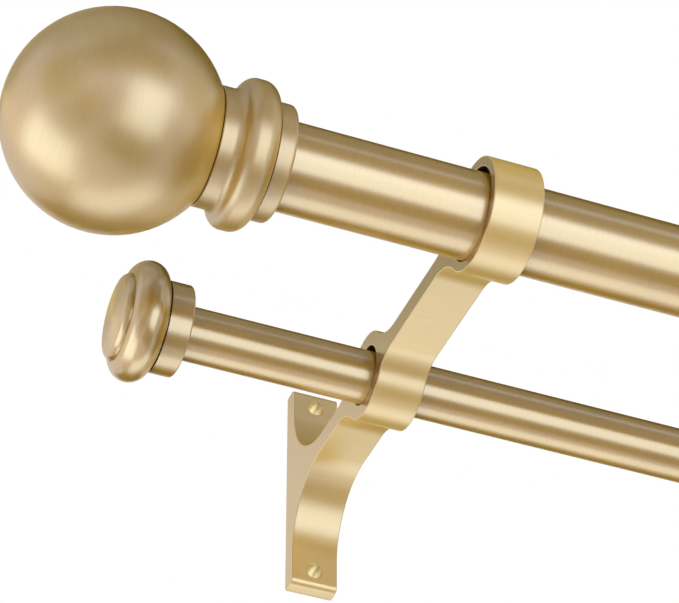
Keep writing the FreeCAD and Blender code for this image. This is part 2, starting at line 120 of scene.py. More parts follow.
class Graph:
    """A short way to write the node graph of a material or of the world."""

    def __init__(self, owner: bpy.types.ID) -> None:
        """Start an empty graph.

        Args:
            owner: The new material or world that it belongs to.
        """
        owner.use_nodes = True
        self.owner = owner
        self.tree = owner.node_tree
        self.tree.nodes.clear()

    @classmethod
    def of_material(cls, name: str) -> "Graph":
        """Return the empty graph of a new material."""
        return cls(bpy.data.materials.new(name))

    def node(self, kind: str, settings: Optional[dict] = None, **inputs: object) -> bpy.types.Node:
        """Add a node.

        Args:
            kind: The node's type name.
            settings: The node's own properties by name.
            inputs: Its sockets by name, spaces as underscores: a value to set or a socket to link.

        Returns:
            The node.
        """
        made = self.tree.nodes.new(kind)
        for key, value in (settings or {}).items():
            setattr(made, key, value)
        for key, value in inputs.items():
            self.feed(made, key.replace("_", " "), value)
        return made

    def feed(self, node: bpy.types.Node, socket: str, value: object) -> None:
        """Set or link the enabled sockets of a node that have a name; several values fill them in order.

        Args:
            node: The node to feed.
            socket: The socket's name.
            value: A value, an output socket, or a list of these.
        """
        targets = [item for item in node.inputs if item.name == socket and item.enabled]
        for target, item in zip(targets, value if isinstance(value, list) else [value]):
            if isinstance(item, bpy.types.NodeSocket):
                self.tree.links.new(item, target)
            else:
                target.default_value = item

    def math(self, operation: str, *values: object) -> bpy.types.NodeSocket:
        """Return the result of a math node."""
        return self.node("ShaderNodeMath", {"operation": operation}, Value=list(values)).outputs[0]

    def spread(self, factor: bpy.types.NodeSocket, low: float, high: float) -> bpy.types.NodeSocket:
        """Return a factor of 0 to 1 spread over a range."""
        return self.node("ShaderNodeMapRange", Value=factor, To_Min=low, To_Max=high).outputs[0]

    def weighted(
        self, first: bpy.types.NodeSocket, second: bpy.types.NodeSocket, share: float
    ) -> bpy.types.NodeSocket:
        """Return the sum of two patterns, the first with its share of 1 and the second with the rest."""
        parts = self.math("MULTIPLY", first, share), self.math("MULTIPLY", second, 1 - share)
        return self.math("ADD", *parts)

    def mixed(self, factor: bpy.types.NodeSocket, low: object, high: object) -> bpy.types.NodeSocket:
        """Return a colour that goes from one at a factor of 0 to another at 1."""
        mix = self.node("ShaderNodeMix", {"data_type": "RGBA"}, Factor=factor, A=low, B=high)
        return mix.outputs["Result"]

    def noise(
        self, place: bpy.types.NodeSocket, scale: float, detail: float, **more: object
    ) -> bpy.types.NodeSocket:
        """Return a noise pattern.

        Args:
            place: The coordinates that it is read at.
            scale: Its cells to a unit of these.
            detail: How many finer layers it has.
            more: Other sockets of its node by name; W adds a fourth dimension.

        Returns:
            The pattern, from 0 to 1.
        """
        settings = {"noise_dimensions": "4D"} if "W" in more else None
        made = self.node("ShaderNodeTexNoise", settings, Vector=place, Scale=scale, Detail=detail, **more)
        return made.outputs["Fac"]

    def blended(
        self, factor: bpy.types.NodeSocket, low: bpy.types.Node, high: bpy.types.Node
    ) -> bpy.types.Node:
        """Return a shader that goes from one at a factor of 0 to another at 1."""
        return self.node("ShaderNodeMixShader", Fac=factor, Shader=[low.outputs[0], high.outputs[0]])

    def finish(self, shader: bpy.types.Node, output: str = "ShaderNodeOutputMaterial") -> bpy.types.ID:
        """Join the last shader to a new output node and return the finished material or world."""
        self.node(output, Surface=shader.outputs[0])
        return self.owner


@dataclass(frozen=True)
class BrushedGold:
    """Satin brushed gold: fine lines, soft clouds of tone, painted shade in its seams and a thin clear
    lacquer.
    """

    name: str
    colour: Colour = (0.63, 0.395, 0.04)
    deep_colour: Colour = (0.47, 0.285, 0.025)
    edge_colour: Colour = (0.8, 0.46, 0.02)
    tone_range: tuple[float, float] = (-0.6, 1.6)
    roughness: float = 0.82
    roughness_change: float = 0.10
    anisotropy: float = 0.5
    lacquer: float = 1.0
    lacquer_index: float = 3.0
    lacquer_roughness: float = 0.25
    lines_per_metre: float = 2300.0
    lines_round: float = 5.0
    lines_along: float = 40.0
    line_detail: float = 2.0
    line_roughness: float = 0.6
    line_share: float = 0.55
    line_depth: float = 0.036 * MM
    line_strength: float = 0.6
    cloud_scale: float = 45.0
    cloud_detail: float = 2.0
    brushing: Brushing = Brushing.ROUND
    axis: tuple[float, float, float] = (0.0, 0.0, 0.0)
    # Painted shade in the seams: where they lie along X, how far the shade reaches, its dark core and its
    # colour.
    seams: tuple[float, ...] = ()
    seam_reach: float = 0.25 * MM
    seam_core: float = 0.25 * MM / 3
    seam_colour: Colour = (0.13, 0.065, 0.012)

    def material(self) -> bpy.types.Material:
        """Return the material.

        Returns:
            The brushed metal, with its lines round or along an axis parallel to X.
        """
        graph = Graph.of_material(self.name)
        place = graph.node("ShaderNodeTexCoord").outputs["Object"]
        to_origin = tuple(-part for part in self.axis)
        centred = graph.node("ShaderNodeMapping", Vector=place, Location=to_origin).outputs[0]
        draw_lines = self.round_lines if self.brushing is Brushing.ROUND else self.long_lines
        lines = draw_lines(graph, centred)
        clouds = graph.noise(centred, self.cloud_scale, self.cloud_detail)
        tone = graph.weighted(lines, clouds, self.line_share)
        depth = graph.spread(tone, *self.tone_range)
        colour = graph.mixed(depth, opaque(self.deep_colour), opaque(self.colour))
        lacquer = self.lacquer
        # Painted shade: the seams get a dark brown colour and lose the lacquer's reflection.
        if self.seams:
            unshaded = self.clear_of_seams(graph, place)
            lacquer = graph.math("MULTIPLY", unshaded, self.lacquer)
            colour = graph.mixed(unshaded, opaque(self.seam_colour), colour)
        half = self.roughness_change / 2
        rough = graph.spread(tone, self.roughness - half, self.roughness + half)
        bump = graph.node(
            "ShaderNodeBump", Strength=self.line_strength, Distance=self.line_depth, Height=lines
        ).outputs[0]
        shader = graph.node(
            "ShaderNodeBsdfPrincipled",
            Base_Color=colour,
            Metallic=1.0,
            Specular_Tint=opaque(self.edge_colour),
            Roughness=rough,
            Normal=bump,
            Anisotropic=self.anisotropy,
            Coat_Weight=lacquer,
            Coat_Roughness=self.lacquer_roughness,
            Coat_IOR=self.lacquer_index,
            Coat_Normal=bump,
        )
        if self.brushing is Brushing.ROUND:
            tangent = graph.node("ShaderNodeTangent", {"direction_type": "RADIAL", "axis": "X"}).outputs[0]
        else:
            tangent = graph.node("ShaderNodeCombineXYZ", X=1.0).outputs[0]
        graph.feed(shader, "Tangent", tangent)
        graph.feed(shader, "Anisotropic Rotation", QUARTER_TURN)
        return graph.finish(shader)

    def clear_of_seams(self, graph: Graph, place: bpy.types.NodeSocket) -> bpy.types.NodeSocket:
        """Return where the surface is clear of the grooves and joints that shade is painted into.

        Args:
            graph: The material's graph.
            place: Coordinates of the surface.

        Returns:
            A factor of 0 in a seam and 1 on the open surface.
        """
        along = graph.math("ABSOLUTE", graph.node("ShaderNodeSeparateXYZ", Vector=place).outputs["X"])
        gaps = [graph.math("ABSOLUTE", graph.math("SUBTRACT", along, seam)) for seam in self.seams]
        nearest = gaps[0]
        for gap in gaps[1:]:
            nearest = graph.math("MINIMUM", nearest, gap)
        return graph.node(
            "ShaderNodeMapRange",
            {"interpolation_type": "SMOOTHSTEP"},
            Value=nearest,
            From_Min=self.seam_core,
            From_Max=self.seam_reach,
        ).outputs[0]

    def round_lines(self, graph: Graph, place: bpy.types.NodeSocket) -> bpy.types.NodeSocket:
        """Return fine lines that run round the axis, on the sides and on the end faces alike.

        Args:
            graph: The material's graph.
            place: Coordinates with the axis through their origin.

        Returns:
            The height of the lines, from 0 to 1.
        """
        parts = graph.node("ShaderNodeSeparateXYZ", Vector=place).outputs
        flat = graph.node("ShaderNodeCombineXYZ", X=0.0, Y=parts["Y"], Z=parts["Z"]).outputs[0]
        radius = graph.node("ShaderNodeVectorMath", {"operation": "LENGTH"}, Vector=flat).outputs["Value"]
        unit = graph.node("ShaderNodeVectorMath", {"operation": "NORMALIZE"}, Vector=flat).outputs["Vector"]
        turn = graph.node("ShaderNodeSeparateXYZ", Vector=unit).outputs
        across = graph.node(
            "ShaderNodeCombineXYZ",
            X=graph.math("MULTIPLY", parts["X"], self.lines_per_metre),
            Y=graph.math("MULTIPLY", radius, self.lines_per_metre),
            Z=graph.math("MULTIPLY", turn["Y"], self.lines_round),
        ).outputs[0]
        beyond = graph.math("MULTIPLY", turn["Z"], self.lines_round)
        return graph.noise(across, 1.0, self.line_detail, Roughness=self.line_roughness, W=beyond)

    def long_lines(self, graph: Graph, place: bpy.types.NodeSocket) -> bpy.types.NodeSocket:
        """Return fine lines that run along X.

        Args:
            graph: The material's graph.
            place: Coordinates of the surface.

        Returns:
            The height of the lines, from 0 to 1.
        """
        scale = (self.lines_along, self.lines_per_metre, self.lines_per_metre)
        stretched = graph.node("ShaderNodeMapping", Vector=place, Scale=scale).outputs[0]
        return graph.noise(stretched, 1.0, self.line_detail, Roughness=self.line_roughness)


@dataclass(frozen=True)
class Grained:
    """A plain grained finish: satin cut metal, zinc or moulded plastic."""

    name: str
    colour: Colour
    deep_colour: Colour
    metallic: float
    roughness: float
    roughness_change: float = 0.12
    grain_scale: float = 2200.0
    grain_detail: float = 3.0
    grain_share: float = 0.5
    grain_depth: float = 0.01 * MM
    grain_strength: float = 0.5
    cloud_scale: float = 60.0
    cloud_detail: float = 2.0

    def material(self) -> bpy.types.Material:
        """Return the material.

        Returns:
            The finish, with its grain, its clouds of tone and its bump.
        """
        graph = Graph.of_material(self.name)
        place = graph.node("ShaderNodeTexCoord").outputs["Object"]
        grain = graph.noise(place, self.grain_scale, self.grain_detail)
        clouds = graph.noise(place, self.cloud_scale, self.cloud_detail)
        tone = graph.weighted(grain, clouds, self.grain_share)
        half = self.roughness_change / 2
        bump = graph.node(
            "ShaderNodeBump", Strength=self.grain_strength, Distance=self.grain_depth, Height=grain
        ).outputs[0]
        shader = graph.node(
            "ShaderNodeBsdfPrincipled",
            Base_Color=graph.mixed(tone, opaque(self.deep_colour), opaque(self.colour)),
            Metallic=self.metallic,
            Roughness=graph.spread(tone, self.roughness - half, self.roughness + half),
            Normal=bump,
        )
        return graph.finish(shader)


@dataclass(frozen=True)
class Axis:
    """A pole's axis, parallel to X."""

    y: float
    z: float

    @property
    def point(self) -> Vector:
        """Return the axis's point at mid-span."""
        return Vector((0, self.y, self.z))

    @classmethod
    def of(cls, node: str) -> "Axis":
        """Find the axis of a CAD node.

        Args:
            node: The name of a node that is round about X.

        Returns:
            Its axis.
        """
        low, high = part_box(node)
        middle = (low + high) / 2
        return cls(middle.y, middle.z)


def radius_of(node: str) -> float:
    """Return the radius of a CAD node that is round about X."""
    low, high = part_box(node)
    return (high.z - low.z) / 2


def reach_of(node: str) -> float:
    """Return how far from mid-span a CAD node reaches along X."""
    low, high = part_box(node)
    return max(abs(low.x), abs(high.x))


def mesh_object(
    name: str, mesh: bmesh.types.BMesh, materials: Iterable[bpy.types.Material]
) -> bpy.types.Object:
    """Turn a bmesh into an object of the scene.

    Args:
        name: The object's name.
        mesh: Its mesh, which is freed.
        materials: Its materials, in the order of its faces' indices.

    Returns:
        The object.
    """
    data = bpy.data.meshes.new(name)
    mesh.to_mesh(data)
    mesh.free()
    for material in materials:
        data.materials.append(material)
    item = bpy.data.objects.new(name, data)
    bpy.context.scene.collection.objects.link(item)
    return item


def shade(data: bpy.types.Mesh) -> None:
    """Shade a mesh smooth between its creases, and sawn faces flat.

    Args:
        data: The mesh to shade.
    """
    data.shade_smooth()
    data.set_sharp_from_angle(angle=CREASE_ANGLE)
    for face in data.polygons:
        face.use_smooth = face.material_index != BracketFace.SAWN


def finish_piece(
    mesh: bmesh.types.BMesh,
    name: str,
    replaced: Sequence[str],
    materials: Iterable[bpy.types.Material],
) -> bpy.types.Object:
    """Turn a bmesh into a finished piece of the part, shaded smooth between its creases.

    Args:
        mesh: The piece's mesh, in the frame's own coordinates; it is freed.
        name: The piece's name.
        replaced: The CAD nodes that it stands for.
        materials: Its materials, in the order of its faces' indices.

    Returns:
        The piece's object.
    """
    piece = mesh_object(name, mesh, materials)
    shade(piece.data)
    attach(piece, BODY)
    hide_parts(*replaced)
    log.info("%s: %d faces", name, len(piece.data.polygons))
    return piece


class Outline:
    """An outline drawn edge by edge in one plane, each edge from the tip that the last one left."""

    def __init__(self, normal: Vector, fineness: float = 1.0, least_steps: int = LEAST_ARC_STEPS) -> None:
        """Start an empty outline.

        Args:
            normal: The plane's normal, which its arcs turn about.
            fineness: How many times finer than usual its arcs are.
            least_steps: The fewest edges of an arc.
        """
        self.normal = normal
        self.fineness = fineness
        self.least_steps = least_steps
        self.mesh = bmesh.new()
        self.tip: Optional[bmesh.types.BMVert] = None

    def start_at(self, place: Vector) -> None:
        """Set the outline's first point."""
        self.tip = self.mesh.verts.new(place)

    def line_to(self, stop: Vector) -> None:
        """Draw a straight edge to a point."""
        self.tip = bmesh.ops.extrude_vert_indiv(self.mesh, verts=[self.tip])["verts"][0]
        self.tip.co = stop

    def arc_to(self, stop: Vector, centre: Vector, sense: int = 0) -> None:
        """Draw a round edge to a point.

        Args:
            stop: The arc's end.
            centre: Its centre.
            sense: The sign of its turn about the normal, or 0 for the shorter way.
        """
        before, after = self.tip.co - centre, stop - centre
        turn = math.atan2(before.cross(after).dot(self.normal), before.dot(after))
        if sense:
            turn %= FULL_TURN
        if sense < 0:
            turn -= FULL_TURN
        made = bmesh.ops.spin(
            self.mesh,
            geom=[self.tip],
            cent=centre,
            axis=self.normal,
            angle=turn,
            steps=max(self.least_steps, round(abs(turn) / ARC_STEP * self.fineness)),
            use_merge=False,
        )
        self.tip = next(item for item in made["geom_last"] if isinstance(item, bmesh.types.BMVert))
        self.tip.co = stop


class TurnedSection(Outline):
    """The half section of a turned piece, which is spun about the piece's axis."""

    def __init__(self, axis: Axis, side: Side, origin: float = 0.0) -> None:
        """Start an empty section.

        Args:
            axis: The axis that the piece is turned about.
            side: The end of the pole, which sets the way outwards.
            origin: The X distance from mid-span that lengths along the section start from.
        """
        super().__init__(Y_AXIS)
        self.axis = axis
        self.side = side
        self.origin = origin

    def point(self, along: float, radius: float) -> Vector:
        """Return the place of a point of the section."""
        return Vector((self.side.value * (self.origin + along), self.axis.y, self.axis.z + radius))

    def start(self, along: float, radius: float) -> "TurnedSection":
        """Set the first point, by its distance along the axis and from it, and return the section."""
        self.start_at(self.point(along, radius))
        return self

    def line(self, along: float, radius: float) -> "TurnedSection":
        """Draw a straight edge to such a point and return the section."""
        self.line_to(self.point(along, radius))
        return self

    def arc(self, along: float, radius: float, middle: tuple[float, float]) -> "TurnedSection":
        """Draw a round edge to such a point, about such a middle, and return the section."""
        self.arc_to(self.point(along, radius), self.point(*middle))
        return self

    def turned(self, closed: bool = True) -> bmesh.types.BMesh:
        """Spin the section into a solid of revolution.

        Args:
            closed: Whether the last point is joined to the first.

        Returns:
            The turned mesh.
        """
        mesh = self.mesh
        if closed:
            mesh.verts.ensure_lookup_table()
            bmesh.ops.contextual_create(mesh, geom=[self.tip, mesh.verts[0]])
        bmesh.ops.spin(
            mesh,
            geom=mesh.verts[:] + mesh.edges[:],
            cent=self.axis.point,
            axis=X_AXIS,
            angle=FULL_TURN,
            steps=ROUND_SEGMENTS,
            use_merge=True,
        )
        bmesh.ops.remove_doubles(mesh, verts=mesh.verts[:], dist=MERGE_DISTANCE)
        bmesh.ops.recalc_face_normals(mesh, faces=mesh.faces[:])
        return mesh


@dataclass
class Pole:
    """A round tube with its two cut ends broken."""

    node: str
    wall: float
    edge_break: float = 0.2 * MM

    def build(self, material: bpy.types.Material) -> None:
        """Build and dress the pole.

        Args:
            material: Its finish.
        """
        outside = radius_of(self.node)
        inside = outside - self.wall
        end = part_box(self.node)[1].x
        edge = self.edge_break
        section = TurnedSection(Axis.of(self.node), Side.RIGHT)
        section.start(-end, inside + edge).line(-end, outside - edge).line(edge - end, outside)
        section.line(end - edge, outside).line(end, outside - edge).line(end, inside + edge)
        section.line(end - edge, inside).line(edge - end, inside)
        finish_piece(section.turned(), f"{self.node}_tube", [self.node], [material])


@dataclass
class SleevedEnd:
    """A turned end whose sleeve goes over a pole, with a groove between the sleeve and a bead."""

    side: Side
    pole: str
    socket_depth: float
    sleeve_length: float
    sleeve_radius: float
    sleeve_round: float
    groove: float = 0.5 * MM
    socket_play: float = 0.15 * MM
    thread_play: float = 0.1 * MM

    def __post_init__(self) -> None:
        """Read the pole's end from the frame."""
        self.axis = Axis.of(self.pole)
        self.tube_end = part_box(self.pole)[1].x
        self.socket = radius_of(self.pole) + self.socket_play
        self.mouth = -self.socket_depth
        self.sleeve_end = self.mouth + self.sleeve_length
        self.groove_radius = self.sleeve_radius - self.groove

    def sleeve_section(self, bead_start: float) -> TurnedSection:
        """Start the section of the turned piece, from its mouth to its bead.

        Args:
            bead_start: The distance of the bead from the tube's end.

        Returns:
            The section with its sleeve and groove.
        """
        mouth, sleeve, rounding = self.mouth, self.sleeve_radius, self.sleeve_round
        section = TurnedSection(self.axis, self.side, self.tube_end)
        section.start(mouth, self.socket).line(mouth, sleeve - rounding)
        section.arc(mouth + rounding, sleeve, (mouth + rounding, sleeve - rounding))
        section.line(self.sleeve_end, sleeve).line(self.sleeve_end, self.groove_radius)
        return section.line(bead_start, self.groove_radius)


@dataclass
class BallFinial(SleevedEnd):
    """A ball on a moulded collar, at one end of the front pole."""

    pole: str = "front_pole"
    socket_depth: float = 14 * MM
    sleeve_length: float = 4.9 * MM
    sleeve_radius: float = 16.4 * MM
    sleeve_round: float = 1.2 * MM
    bead_round: float = 4.4 * MM
    bead_land: float = 1.6 * MM
    flank_length: float = 5.8 * MM
    flank_shoulder: float = 0.58
    neck_radius: float = 16.7 * MM
    neck_chamfer: float = 0.4 * MM
    ball_wall: float = 1.5 * MM
    ball_floor: float = 3 * MM
    boss_radius: float = 7 * MM
    boss_length: float = 12 * MM

    def __post_init__(self) -> None:
        """Read from the frame what the collar and the ball are seated on."""
        super().__post_init__()
        self.tapped = radius_of(self.side.node("stud")) + self.thread_play
        # Shade is painted into the ball's joint with the collar and into the groove.
        groove_middle = self.tube_end + self.sleeve_end + self.groove / 2
        self.seams = (reach_of(self.side.node("collar")), groove_middle)

    def build(self, collar_finish: bpy.types.Material, ball_finish: bpy.types.Material) -> None:
        """Build and dress the collar and the ball.

        Args:
            collar_finish: The collar's finish.
            ball_finish: The ball's finish.
        """
        self.build_collar(collar_finish)
        self.build_ball(ball_finish)

    def build_collar(self, material: bpy.types.Material) -> None:
        """Build the collar: sleeve, groove, bead, flank and neck, turned from one piece.

        Args:
            material: Its finish.
        """
        node = self.side.node("collar")
        low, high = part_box(node)
        bead = radius_of(node)
        neck_end = self.mouth + high.x - low.x
        bead_start = self.sleeve_end + self.groove
        land_start = bead_start + self.bead_round
        land_end = land_start + self.bead_land
        drop = bead - self.neck_radius
        flank_rounds = (self.flank_length ** 2 + drop ** 2) / (2 * drop)
        shoulder = flank_rounds * self.flank_shoulder
        cove = flank_rounds - shoulder
        cove_start = land_end + self.flank_length * self.flank_shoulder
        cove_end = land_end + self.flank_length
        section = self.sleeve_section(bead_start).line(bead_start, bead - self.bead_round)
        section.arc(land_start, bead, (land_start, bead - self.bead_round)).line(land_end, bead)
        section.arc(cove_start, bead - drop * self.flank_shoulder, (land_end, bead - shoulder))
        section.arc(cove_end, self.neck_radius, (cove_end, self.neck_radius + cove))
        section.line(neck_end - self.neck_chamfer, self.neck_radius)
        section.line(neck_end, self.neck_radius - self.neck_chamfer).line(neck_end, self.tapped)
        section.line(0, self.tapped).line(0, self.socket)
        finish_piece(section.turned(), f"{node}_turned", [node], [material])

    def build_ball(self, material: bpy.types.Material) -> None:
        """Build the ball: a spun shell with a flat seat and a threaded boss inside.

        Args:
            material: Its finish.
        """
        node = self.side.node("ball")
        low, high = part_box(node)
        radius = radius_of(node)
        neck_end = min(abs(low.x), abs(high.x)) - self.tube_end
        seat = self.neck_radius - self.neck_chamfer
        middle = neck_end + math.sqrt(radius ** 2 - seat ** 2)
        hollow = radius - self.ball_wall
        floor = neck_end + self.ball_floor
        floor_edge = math.sqrt(hollow ** 2 - (middle - floor) ** 2)
        boss_end = neck_end + self.boss_length
        section = TurnedSection(self.axis, self.side, self.tube_end)
        section.start(neck_end, self.tapped).line(neck_end, seat)
        section.arc(middle + radius, 0, (middle, 0)).line(middle + hollow, 0)
        section.arc(floor, floor_edge, (middle, 0)).line(floor, self.boss_radius)
        section.line(boss_end, self.boss_radius).line(boss_end, self.tapped)
        finish_piece(section.turned(), f"{node}_spun", [node], [material])


@dataclass
class CappedEnd(SleevedEnd):
    """A turned cap with a pressed-in button, at one end of the rear pole."""

    pole: str = "rear_pole"
    socket_depth: float = 9 * MM
    sleeve_length: float = 7 * MM
    sleeve_radius: float = 13.6 * MM
    sleeve_round: float = 0.6 * MM
    bead_radius: float = 5.4 * MM
    bead_middle: float = 12.65 * MM
    web: float = 3.5 * MM
    screw_shoulder: float = 2 * MM
    button_seat: float = 2 * MM
    button_play: float = 0.1 * MM
    button_shoulder: float = 2.2 * MM
    button_crown: float = 0.5 * MM

    def __post_init__(self) -> None:
        """Read from the frame what the cap and the button are seated on."""
        super().__post_init__()
        cap, button = self.side.node("cap"), self.side.node("button")
        self.head_pocket = radius_of(self.side.node("cap_screw")) + self.thread_play
        self.button_radius = radius_of(button)
        self.bead_reach = radius_of(cap)
        self.face = reach_of(cap) - self.tube_end
        self.button_top = reach_of(button) - self.tube_end
        # Shade is painted into the groove where the sleeve ends.
        self.seams = (self.tube_end + self.sleeve_end,)

    def build(self, material: bpy.types.Material) -> None:
        """Build and dress the cap and the button.

        Args:
            material: Their finish.
        """
        self.build_cap(material)
        self.build_button(material)

    def build_cap(self, material: bpy.types.Material) -> None:
        """Build the cap: sleeve, groove and bead, with the pockets of the screw and the button.

        Args:
            material: Its finish.
        """
        node = self.side.node("cap")
        bead_axis = self.bead_reach - self.bead_radius
        middle = self.mouth + self.bead_middle
        bead_start = middle - math.sqrt(self.bead_radius ** 2 - (self.groove_radius - bead_axis) ** 2)
        face_edge = bead_axis + math.sqrt(self.bead_radius ** 2 - (self.face - middle) ** 2)
        seat = self.face - self.button_seat
        pocket = self.button_radius + self.button_play
        screw_hole = self.head_pocket - self.screw_shoulder
        section = self.sleeve_section(bead_start)
        section.arc(middle, self.bead_reach, (middle, bead_axis))
        section.arc(self.face, face_edge, (middle, bead_axis))
        section.line(self.face, pocket).line(seat, pocket).line(seat, self.head_pocket)
        section.line(self.web, self.head_pocket).line(self.web, screw_hole).line(0, screw_hole)
        section.line(0, self.socket)
        finish_piece(section.turned(), f"{node}_turned", [node], [material])

    def build_button(self, material: bpy.types.Material) -> None:
        """Build the button: a rounded rim and a low crown.

        Args:
            material: Its finish.
        """
        node = self.side.node("button")
        seat = self.face - self.button_seat
        rim_top = self.button_top - self.button_crown
        edge = self.button_radius - self.button_shoulder
        crown_radius = (edge ** 2 + self.button_crown ** 2) / (2 * self.button_crown)
        shoulder_start = rim_top - self.button_shoulder
        section = TurnedSection(self.axis, self.side, self.tube_end)
        section.start(seat, 0).line(seat, self.button_radius).line(shoulder_start, self.button_radius)
        section.arc(rim_top, edge, (shoulder_start, edge))
        section.arc(self.button_top, 0, (self.button_top - crown_radius, 0))
        finish_piece(section.turned(closed=False), f"{node}_pressed", [node], [material])


@dataclass(frozen=True)
class Ring:
    """A bracket's ring round one of the poles."""

    middle: Vector
    bore: float
    radius: float


@dataclass
class Bracket:
    """A bracket sawn from an extruded profile: wall plate, curved root, arm and two rings."""

    side: Side
    plate_thickness: float = 5.8 * MM
    plate_round: float = 2 * MM
    wall_round: float = 1.2 * MM
    arm_thickness: float = 6.2 * MM
    upper_root_radius: float = 26 * MM
    lower_root_radius: float = 21 * MM
    ring_blend: float = 17 * MM
    underside_blend: float = 11 * MM
    ring_play: float = 1 * MM
    rest_gap: float = 0.1 * MM
    front_wall: float = 3 * MM
    rear_wall: float = 4.5 * MM
    edge_round: float = 0.3 * MM
    hole_radius: float = 2.5 * MM
    hole_rim: float = 0.15 * MM
    hole_spacing: float = 62.5 * MM
    thread_play: float = 0.1 * MM

    def __post_init__(self) -> None:
        """Read the bracket's place and its rings from the frame."""
        self.node = self.side.node("bracket")
        self.low, self.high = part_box(self.node)
        self.front = self.ring("front_pole", self.front_wall)
        self.rear = self.ring("rear_pole", self.rear_wall)
        self.room_way = (self.front.middle - self.rear.middle).normalized()
        self.above_way = X_AXIS.cross(self.room_way) * -1
        self.outline = Outline(X_AXIS, PROFILE_FINENESS, LEAST_PROFILE_STEPS)

    def ring(self, pole: str, wall: float) -> Ring:
        """Return the ring round a pole.

        Args:
            pole: The pole's CAD node.
            wall: The ring's wall.

        Returns:
            The ring's place and sizes.
        """
        axis = Axis.of(pole)
        bore = radius_of(pole) + self.ring_play
        return Ring(self.at(axis.y, axis.z + self.ring_play - self.rest_gap), bore, bore + wall)

    def at(self, y: float, z: float) -> Vector:
        """Return a point in the plane of the profile, the bracket's left face."""
        return Vector((self.low.x, y, z))

    def blend(self, ring: Ring, roomward: int, above: int) -> tuple[Vector, Vector, Vector]:
        """Return the centre, the arm's end and the ring's end of a blend between arm and ring.

        Args:
            ring: The ring.
            roomward: 1 on the ring's side to the room, -1 on its side to the wall.
            above: 1 on top of the arm, -1 under it.

        Returns:
            The three points.
        """
        tighter = ring is self.rear and (roomward, above) == (1, -1)
        rounding = self.underside_blend if tighter else self.ring_blend
        across = self.arm_thickness / 2 + rounding
        reach = math.sqrt((ring.radius + rounding) ** 2 - across ** 2)
        centre = ring.middle + self.room_way * (roomward * reach) + self.above_way * (above * across)
        on_arm = centre - self.above_way * (above * rounding)
        on_ring = ring.middle + (centre - ring.middle).normalized() * ring.radius
        return centre, on_arm, on_ring

    def root_curve(self, above: int) -> tuple[Vector, Vector, Vector]:
        """Return the centre, the plate's end and the arm's end of the curve from plate to arm.

        Args:
            above: 1 on top of the arm, -1 under it.

        Returns:
            The three points.
        """
        radius = self.upper_root_radius if above > 0 else self.lower_root_radius
        centre_y = -self.plate_thickness - radius
        across = above * (self.arm_thickness / 2 + radius)
        start = self.rear.middle + self.above_way * across
        centre_z = start.z + (centre_y - start.y) * self.room_way.z / self.room_way.y
        centre = self.at(centre_y, centre_z)
        return centre, centre + Y_AXIS * radius, centre - self.above_way * (above * radius)

    def draw_profile(self) -> bmesh.types.BMesh:
        """Draw the profile's outline and its two bores.

        Returns:
            The mesh that holds them.
        """
        top, foot, face = self.high.z, self.low.z, -self.plate_thickness
        rounding, back = self.plate_round, self.wall_round
        line, arc = self.outline.line_to, self.outline.arc_to
        self.outline.start_at(self.at(0, foot + back))
        line(self.at(0, top - back))
        arc(self.at(-back, top), self.at(-back, top - back), 1)
        line(self.at(rounding + face, top))
        arc(self.at(face, top - rounding), self.at(rounding + face, top - rounding), 1)
        centre, on_plate, on_arm = self.root_curve(1)
        line(on_plate)
        arc(on_arm, centre, -1)
        self.pass_rear_ring(1, 1)
        centre, on_arm, on_ring = self.blend(self.front, -1, 1)
        line(on_arm)
        arc(on_ring, centre, -1)
        centre, on_arm, on_ring = self.blend(self.front, -1, -1)
        arc(on_ring, self.front.middle, 1)
        arc(on_arm, centre, -1)
        self.pass_rear_ring(-1, -1)
        centre, on_plate, on_arm = self.root_curve(-1)
        line(on_arm)
        arc(on_plate, centre, -1)
        line(self.at(face, foot + rounding))
        arc(self.at(rounding + face, foot), self.at(rounding + face, foot + rounding), 1)
        line(self.at(-back, foot))
        arc(self.at(0, foot + back), self.at(-back, foot + back), 1)
        mesh = self.outline.mesh
        bmesh.ops.remove_doubles(mesh, verts=mesh.verts[:], dist=MERGE_DISTANCE)
        for ring in (self.front, self.rear):
            place = Matrix.Translation(ring.middle) @ Matrix.Rotation(math.pi / 2, 4, "Y")
            bmesh.ops.create_circle(mesh, segments=ROUND_SEGMENTS, radius=ring.bore, matrix=place)
        return mesh

    def pass_rear_ring(self, heading: int, above: int) -> None:
        """Draw the arm's edge up to the rear ring, over or under the ring and on to the arm again.

        Args:
            heading: 1 towards the room, -1 towards the wall.
            above: 1 over the ring, -1 under it.
        """
        centre, on_arm, on_ring = self.blend(self.rear, -heading, above)
        self.outline.line_to(on_arm)
        self.outline.arc_to(on_ring, centre, -1)
        centre, on_arm, on_ring = self.blend(self.rear, heading, above)
        self.outline.arc_to(on_ring, self.rear.middle, 1)
        self.outline.arc_to(on_arm, centre, -1)

    def in_bore(self, face: bmesh.types.BMFace) -> bool:
        """Tell whether a face lies in one of the rings' bores."""
        place = face.calc_center_median()
        return any((place - ring.middle).yz.length < ring.bore for ring in (self.front, self.rear))

